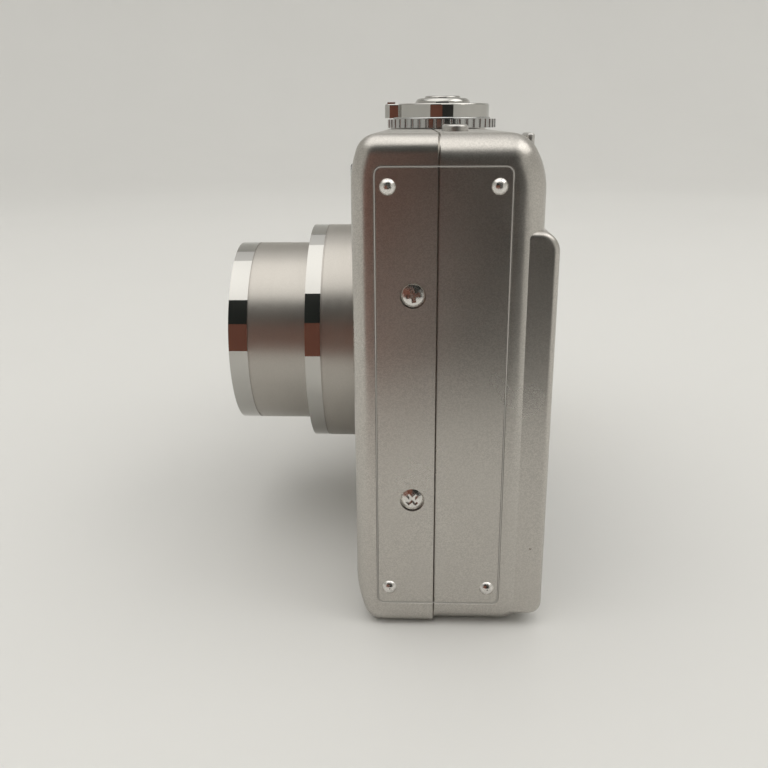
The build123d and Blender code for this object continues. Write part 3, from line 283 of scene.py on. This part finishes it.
MATERIALS = {
    "silver_paint": silver_paint("silver_paint"),
    "barrel_silver": barrel_paint("barrel_silver"),
    "chrome": chrome("chrome"),
    "dial_chrome": chrome("dial_chrome", (0.46, 0.46, 0.45), 0.14),
    "key_silver": silver_paint("key_silver", (0.52, 0.505, 0.48), 0.34, wear=False),
    "black_plastic": plastic("black_plastic", (0.018, 0.018, 0.019), 0.45),
    "black_gloss": gloss("black_gloss", (0.006, 0.006, 0.008)),
    "screen_dark": gloss("screen_dark", (0.012, 0.013, 0.016), 0.2),
    "lens_glass": coated_glass("lens_glass", (0.90, 0.93, 0.97)),
    "clear_plastic": ribbed_clear("clear_plastic"),
    "flash_glass": coated_glass("flash_glass", (0.95, 0.95, 0.92)),
    "blade_metal": plastic("blade_metal", (0.012, 0.012, 0.012), 0.5, 0.003 * MM),
    "sheet_steel": steel("sheet_steel"),
    "rod_steel": steel("rod_steel", (0.66, 0.66, 0.65), 0.15),
    "screw_steel": steel("screw_steel", (0.72, 0.70, 0.67), 0.2, (6.0, 6.0, 6.0)),
    "bright_reflector": chrome("bright_reflector", (0.9, 0.9, 0.9), 0.08),
    "board_green": board("board_green"),
    "capacitor_sleeve": gloss("capacitor_sleeve", (0.02, 0.02, 0.05), 0.25),
    "battery_label": gloss("battery_label", (0.05, 0.05, 0.06), 0.3),
    "contact_brass": steel("contact_brass", (0.72, 0.55, 0.27), 0.25),
    "gear_plastic": plastic("gear_plastic", (0.75, 0.73, 0.66), 0.4, 0.003 * MM),
    "motor_can": steel("motor_can", (0.60, 0.60, 0.61), 0.25),
    "sensor_black": gloss("sensor_black", (0.01, 0.02, 0.03), 0.1),
}

for part in frame["record"]["subparts"]:
    painted = nodes[part["node"]]
    painted.data.materials.clear()
    painted.data.materials.append(MATERIALS[part["material_slot"]])
nodes["print_key"].data.materials[0] = MATERIALS["key_silver"]


# ---------------------------------------------------------------- printed marks, painted highlight lines and lens baffles

# Thickness of the printing, and the height of its grain
INK = 0.02 * MM
INK_GRAIN = 0.002 * MM
INKS = {
    "dark_ink": plastic("dark_ink", (0.035, 0.035, 0.038), 0.5, INK_GRAIN),
    "blue_ink": plastic("blue_ink", (0.06, 0.16, 0.42), 0.45, INK_GRAIN),
    # The pale line is a painted highlight: the light caught by the edges of the groove round each end panel
    "painted_highlight_line": plastic("painted_highlight_line", (0.40, 0.385, 0.36), 0.4, INK_GRAIN),
}

# Across and up on each face, as someone looking at it sees them
BACK_AXES = (Vector((-1, 0, 0)), Vector((0, 0, 1)))
TOP_AXES = (Vector((1, 0, 0)), Vector((0, 1, 0)))
BASE_AXES = (Vector((1, 0, 0)), Vector((0, -1, 0)))

# Marks, in millimetres; a reach is how far a sign sits from the middle of its keys, dial or lever,
# and the deck is the flat top of the case
ARROW_REACH = 6.65
ARROW_SIZE = 0.95
SCREEN_BORDER_SIZE = (46.4, 35.4)
SCREEN_BORDER_LINE = 0.12
DIAL_SIGN_REACH = 5.9
DECK_HEIGHT = 60.0
POINTER_REACH = 11.0
ZOOM_SIGN_REACH = 7.3
ZOOM_SIGN_BELOW_TOP = 0.3
DOOR_ARROW_PLACE = (2.0, -3.6)

# Pale line painted as the highlight along the groove round each end panel, in millimetres: how far it runs
# past the studs, its corner radii, its place
OUTLINE_PAST_STUDS = (0.62, 1.28)
OUTLINE_OUTER = 0.89
OUTLINE_INNER = 0.75
OUTLINE_DEPTH = 0.09
OUTLINE_RISE = 0.07

# Ribs on the ring round the front lens, in millimetres; the ring slopes forward from its inner edge
BAFFLES = 5
BAFFLE_SIDES = 128
BAFFLE_FIRST = 6.5
BAFFLE_PITCH = 0.75
BAFFLE_SINK = 0.05
BAFFLE_RISE = 0.07
BAFFLE_FOOT = 0.12
BAFFLE_CREST = 0.06
RING_INNER = 6.0
RING_DEPTH = 0.40
RING_SLOPE = 0.071


def finished(name, shape, material, body):
    """Object from a bmesh, riding on one body."""
    bmesh.ops.recalc_face_normals(shape, faces=shape.faces)
    mesh = bpy.data.meshes.new(name)
    shape.to_mesh(mesh)
    shape.free()
    mesh.materials.append(material)
    made = placed(name, mesh)
    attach(made, body)


def printed(name, outlines, origin, axes, body, ink="dark_ink", rise=INK):
    """Printed mark: flat outlines, in millimetres about an origin, raised by the ink's thickness."""
    across, up_axis = axes
    lift = across.cross(up_axis) * rise
    shape = bmesh.new()
    for outline in outlines:
        low = [shape.verts.new(origin + (across * x + up_axis * y) * MM) for x, y in outline]
        high = [shape.verts.new(vertex.co + lift) for vertex in low]
        shape.faces.new(high)
        shape.faces.new(list(reversed(low)))
        for index, vertex in enumerate(low):
            after = (index + 1) % len(low)
            shape.faces.new((vertex, low[after], high[after], high[index]))
    finished(name, shape, INKS[ink], body)


def bar(x, y, width, height):
    """Rectangle about a centre."""
    return [(x - width / 2, y - height / 2), (x + width / 2, y - height / 2),
            (x + width / 2, y + height / 2), (x - width / 2, y + height / 2)]


def regular(x, y, radius, corners, first=90.0):
    """Regular outline whose first corner points at the given angle."""
    angles = [radians(first + 360 * corner / corners) for corner in range(corners)]
    return [(x + radius * cos(angle), y + radius * sin(angle)) for angle in angles]


def arc_band(x, y, inner, outer, first, last, steps=24):
    """Band between two radii, from one angle to another."""
    angles = [radians(first + (last - first) * step / steps) for step in range(steps + 1)]
    return ([(x + outer * cos(angle), y + outer * sin(angle)) for angle in angles]
            + [(x + inner * cos(angle), y + inner * sin(angle)) for angle in reversed(angles)])


def ring(x, y, inner, outer):
    """Whole ring, as two half bands."""
    return [arc_band(x, y, inner, outer, 0, 180), arc_band(x, y, inner, outer, 180, 360)]


def face_centre(node, side):
    """Centre of a node's box, moved to its back, top or base."""
    low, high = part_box(node)
    centre = (low + high) / 2
    if side == "back":
        centre.y = high.y
    elif side == "top":
        centre.z = high.z
    else:
        centre.z = low.z
    return centre


def back_marks():
    """Arrows on the four-way keys, signs on the small keys, a border inside the screen window."""
    pad = face_centre("set_key", "back")
    for node, turn in (("up_key", 90), ("right_key", 0), ("down_key", 270), ("left_key", 180)):
        origin = Vector((pad.x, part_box(node)[1].y, pad.z))
        x = ARROW_REACH * cos(radians(turn))
        y = ARROW_REACH * sin(radians(turn))
        printed(f"{node}_arrow", [regular(x, y, ARROW_SIZE, 3, turn)], origin, BACK_AXES, node)
    menu = face_centre("menu_key", "back")
    printed("menu_key_lines", [bar(0, y, 2.0, 0.3) for y in (-0.7, 0, 0.7)], menu, BACK_AXES, "menu_key")
    play = face_centre("playback_key", "back")
    printed("playback_key_sign", [regular(0, 0, 1.1, 3, 0)], play, BACK_AXES, "playback_key", "blue_ink")
    window = face_centre("screen_window", "back")
    wide, tall = SCREEN_BORDER_SIZE
    line = SCREEN_BORDER_LINE
    border = [bar(0, side * tall / 2, wide + line, line) for side in (-1, 1)]
    border += [bar(side * wide / 2, 0, line, tall - line) for side in (-1, 1)]
    printed("screen_border", border, window, BACK_AXES, "camera_body", "dark_ink", 0.01 * MM)


def dial_marks():
    """Signs round the mode dial, a line round its middle and a pointer beside it."""
    dial = face_centre("mode_dial", "top")
    signs = [
        [regular(0, 0, 0.75, 24)],
        [bar(0, 0, 1.5, 1.0)],
        [regular(0, 0, 0.85, 3)],
        ring(0, 0, 0.5, 0.75),
        [arc_band(0, 0, 0.45, 0.85, 40, 320)],
        [bar(0, y, 1.4, 0.3) for y in (-0.5, 0.0, 0.5)],
        [regular(0, 0, 0.8, 4)],
        [bar(-0.45, 0, 0.5, 1.2), bar(0.45, 0, 0.5, 1.2)],
    ]
    for index, outlines in enumerate(signs):
        angle = 2 * pi * index / len(signs)
        place = dial + Vector((cos(angle), sin(angle), 0)) * DIAL_SIGN_REACH * MM
        ink = "blue_ink" if index == 0 else "dark_ink"
        printed(f"dial_sign_{index}", outlines, place, TOP_AXES, "mode_dial", ink)
    printed("dial_hub_line", ring(0, 0, 3.0, 3.15), dial, TOP_AXES, "mode_dial")
    deck = Vector((dial.x, dial.y, DECK_HEIGHT * MM))
    printed("dial_pointer", [regular(POINTER_REACH, 0, 0.7, 3, 180)], deck, TOP_AXES, "camera_body")


def button_marks():
    """The power sign, and the wide and tele signs of the zoom lever: three bars and one block."""
    power = face_centre("power_button", "top")
    sign = [arc_band(0, 0, 0.65, 0.9, 120, 420), bar(0, 0.75, 0.25, 0.9)]
    printed("power_sign", sign, power, TOP_AXES, "power_button")
    lever_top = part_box("zoom_lever")[1].z
    button_top = face_centre("shutter_button", "top")
    lever = Vector((button_top.x, button_top.y, lever_top - ZOOM_SIGN_BELOW_TOP * MM))
    wide_sign = [bar(-ZOOM_SIGN_REACH + dx, 0, 0.35, 1.1) for dx in (-0.5, 0, 0.5)]
    printed("zoom_wide_sign", wide_sign, lever, TOP_AXES, "zoom_lever", rise=0.03 * MM)
    tele_sign = [bar(ZOOM_SIGN_REACH, 0, 0.9, 1.1)]
    printed("zoom_tele_sign", tele_sign, lever, TOP_AXES, "zoom_lever", rise=0.03 * MM)


def base_marks():
    """Opening arrow on the battery door."""
    door = face_centre("battery_door", "base")
    over, up_by = DOOR_ARROW_PLACE
    arrow = [bar(0, 0, 3.0, 0.35), regular(1.9, 0, 0.8, 3, 0)]
    arrow = [[(x + over, y + up_by) for x, y in outline] for outline in arrow]
    printed("door_arrow", arrow, door, BASE_AXES, "battery_door")


def end_outlines():
    """Pale line in the shallow groove round each end panel: a painted highlight standing in for the light
    that the groove's edges catch.
    """
    studs_low, studs_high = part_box("end_studs")
    middle_y = (studs_low.y + studs_high.y) / 2
    middle_z = (studs_low.z + studs_high.z) / 2
    wide = (studs_high.y - studs_low.y) / MM / 2 + OUTLINE_PAST_STUDS[0]
    tall = (studs_high.z - studs_low.z) / MM / 2 + OUTLINE_PAST_STUDS[1]
    straight_y, straight_z = wide - OUTLINE_OUTER, tall - OUTLINE_OUTER
    width = OUTLINE_OUTER - OUTLINE_INNER
    line = [bar(0, side * (tall - width / 2), 2 * straight_y, width) for side in (-1, 1)]
    line += [bar(side * (wide - width / 2), 0, width, 2 * straight_z) for side in (-1, 1)]
    for y, z, first in ((1, 1, 0), (-1, 1, 90), (-1, -1, 180), (1, -1, 270)):
        corner = (y * straight_y, z * straight_z)
        line.append(arc_band(*corner, OUTLINE_INNER, OUTLINE_OUTER, first, first + 90, 8))
    shell_low, shell_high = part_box("back_shell")
    for name, side, face in (("right", -1, shell_low.x), ("left", 1, shell_high.x)):
        place = Vector((face - side * OUTLINE_DEPTH * MM, middle_y, middle_z))
        axes = (Vector((0, side, 0)), Vector((0, 0, 1)))
        # Painted highlight: a pale strip where the groove's edges catch light
        printed(f"end_highlight_line_{name}", line, place, axes, "camera_body", "painted_highlight_line", OUTLINE_RISE * MM)


def lens_baffles():
    """Fine ribs on the sloping ring round the front lens."""
    low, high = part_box("lens_name_ring")
    middle = (low + high) / 2
    for index in range(BAFFLES):
        radius = (BAFFLE_FIRST + BAFFLE_PITCH * index) * MM
        from_inner = BAFFLE_PITCH * index + (BAFFLE_FIRST - RING_INNER)
        front = low.y + (RING_DEPTH - RING_SLOPE * from_inner) * MM
        foot, crest = front + BAFFLE_SINK * MM, front - BAFFLE_RISE * MM
        profile = [(foot, radius - BAFFLE_FOOT * MM), (crest, radius - BAFFLE_CREST * MM),
                   (crest, radius + BAFFLE_CREST * MM), (foot, radius + BAFFLE_FOOT * MM)]
        shape = bmesh.new()
        rings = []
        for side in range(BAFFLE_SIDES):
            angle = 2 * pi * side / BAFFLE_SIDES
            rings.append([shape.verts.new((middle.x + r * cos(angle), y, middle.z + r * sin(angle)))
                          for y, r in profile])
        for side in range(BAFFLE_SIDES):
            here, there = rings[side], rings[(side + 1) % BAFFLE_SIDES]
            for corner in range(len(profile)):
                after = (corner + 1) % len(profile)
                shape.faces.new((here[corner], here[after], there[after], there[corner]))
        finished(f"lens_baffle_{index}", shape, MATERIALS["blade_metal"], "inner_barrel")


back_marks()
dial_marks()
button_marks()
base_marks()
end_outlines()
lens_baffles()


# ---------------------------------------------------------------- stage: floor, light, camera

FLOOR_COLOUR = (0.74, 0.735, 0.715)
FLOOR_FLAT = 0.75
FLOOR_CURVE = 0.55
FLOOR_WALL = 1.3
FLOOR_SIDES = 96
CURVE_STEPS = 16

SKY_COLOUR = (1.0, 0.992, 0.965, 1.0)
HORIZON_LIGHT = 0.63
ZENITH_LIGHT = 1.10
HORIZON_TOP = 0.5
LAMP_COLOUR = (1.0, 0.985, 0.95)

# Cards mirrored in the end panel, where the person taking the picture would be
CARD_X = 0.142
CARD_LEFT = -0.10
CARD_SPLIT = -0.004
CARD_RIGHT = 0.08
HAND_TOP = 0.079
PHONE_TOP = 0.192

CAMERA_PLACE = Vector((138.26, -2.465, 61.268)) * MM
CAMERA_YAW = -0.0405
CAMERA_PITCH = 0.3035
CAMERA_ROLL = -0.0068
CAMERA_LENS = 39.375


def flat_material(name, colour):
    """Plain matt surface with a faint mottle."""
    shader = Shader(name, colour, roughness=0.6)
    mottle = shader.ramp(shader.noise(6.0, 4.0), 0.3, 0.7)
    return shader.done(shader.mix(mottle, tint(colour, 0.985), tint(colour, 1.0)), None)


def studio_floor():
    """Round pale floor that curves up into a wall all round."""
    profile = [(FLOOR_FLAT * 0.5, 0.0)]
    for step in range(CURVE_STEPS + 1):
        angle = step / CURVE_STEPS * pi / 2
        profile.append((FLOOR_FLAT + FLOOR_CURVE * sin(angle), FLOOR_CURVE * (1 - cos(angle))))
    profile.append((FLOOR_FLAT + FLOOR_CURVE, FLOOR_WALL))
    angles = [2 * pi * side / FLOOR_SIDES for side in range(FLOOR_SIDES)]
    shape = bmesh.new()
    rings = [[shape.verts.new((reach * cos(angle), reach * sin(angle), height)) for angle in angles]
             for reach, height in profile]
    shape.faces.new(rings[0])
    for lower, upper in zip(rings, rings[1:]):
        for side in range(FLOOR_SIDES):
            after = (side + 1) % FLOOR_SIDES
            shape.faces.new((lower[after], lower[side], upper[side], upper[after]))
    mesh = bpy.data.meshes.new("floor")
    shape.to_mesh(mesh)
    shape.free()
    mesh.shade_smooth()
    mesh.materials.append(flat_material("floor", FLOOR_COLOUR))
    made = placed("floor", mesh)


def studio_world():
    """Even sky that is brighter overhead than at the horizon."""
    world = bpy.data.worlds.new("studio")
    bpy.context.scene.world = world
    world.use_nodes = True
    tree = world.node_tree
    direction = tree.nodes.new("ShaderNodeTexCoord")
    height = tree.nodes.new("ShaderNodeSeparateXYZ")
    strength = tree.nodes.new("ShaderNodeMapRange")
    strength.inputs["From Min"].default_value = HORIZON_TOP
    strength.inputs["To Min"].default_value = HORIZON_LIGHT
    strength.inputs["To Max"].default_value = ZENITH_LIGHT
    tree.links.new(direction.outputs["Generated"], height.inputs["Vector"])
    tree.links.new(height.outputs["Z"], strength.inputs["Value"])
    background = tree.nodes["Background"]
    background.inputs["Color"].default_value = SKY_COLOUR
    tree.links.new(strength.outputs["Result"], background.inputs["Strength"])


def area_light(name, place, target, size, power):
    """Softbox at a place, facing a target."""
    data = bpy.data.lights.new(name, "AREA")
    data.shape = "RECTANGLE"
    data.size, data.size_y = size
    data.energy = power
    data.color = LAMP_COLOUR
    made = placed(name, data)
    away = Vector(place) - Vector(target)
    made.matrix_world = Matrix.Translation(place) @ away.to_track_quat("Z", "Y").to_matrix().to_4x4()


def card(name, low, high, colour):
    """Upright card, between two (y, z) corners, that is only seen mirrored."""
    (y0, z0), (y1, z1) = low, high
    corners = [(CARD_X, y0, z0), (CARD_X, y1, z0), (CARD_X, y1, z1), (CARD_X, y0, z1)]
    mesh = bpy.data.meshes.new(name)
    mesh.from_pydata(corners, [], [(0, 1, 2, 3)])
    mesh.materials.append(flat_material(name, colour))
    made = placed(name, mesh)
    made.visible_camera = False
    made.visible_diffuse = False
    made.visible_shadow = False


def standing_camera():
    """Camera off the +X end, looking slightly down at it."""
    reach = cos(CAMERA_PITCH)
    forward = Vector((-reach * cos(CAMERA_YAW), reach * sin(CAMERA_YAW), -sin(CAMERA_PITCH)))
    level = Vector((sin(CAMERA_YAW), cos(CAMERA_YAW), 0.0))
    upright = level.cross(forward)
    right = level * cos(CAMERA_ROLL) + upright * sin(CAMERA_ROLL)
    up = upright * cos(CAMERA_ROLL) - level * sin(CAMERA_ROLL)
    data = bpy.data.cameras.new("camera")
    data.lens = CAMERA_LENS
    data.sensor_width = 36.0
    data.clip_start = 0.005
    camera = placed("camera", data)
    turn = Matrix((right, up, -forward)).transposed().to_4x4()
    camera.matrix_world = Matrix.Translation(CAMERA_PLACE) @ turn
    bpy.context.scene.camera = camera


studio_floor()
studio_world()
area_light("side_softbox", place=(0.1, 0.75, 0.95), target=(0, 0, 0), size=(0.9, 0.7), power=3.0)
area_light("overhead_softbox", place=(0.14, -0.20, 0.75), target=(0.02, 0, 0.03), size=(0.8, 0.8), power=1.3)
card("phone_card", (CARD_LEFT, HAND_TOP), (CARD_RIGHT, PHONE_TOP), (0.002, 0.007, 0.005))
card("hand_card", (CARD_LEFT, 0.0), (CARD_SPLIT, HAND_TOP), (0.26, 0.095, 0.062))
card("sleeve_card", (CARD_SPLIT, 0.0), (CARD_RIGHT, HAND_TOP), (0.030, 0.030, 0.028))
standing_camera()
bpy.context.scene.view_settings.view_transform = "Standard"
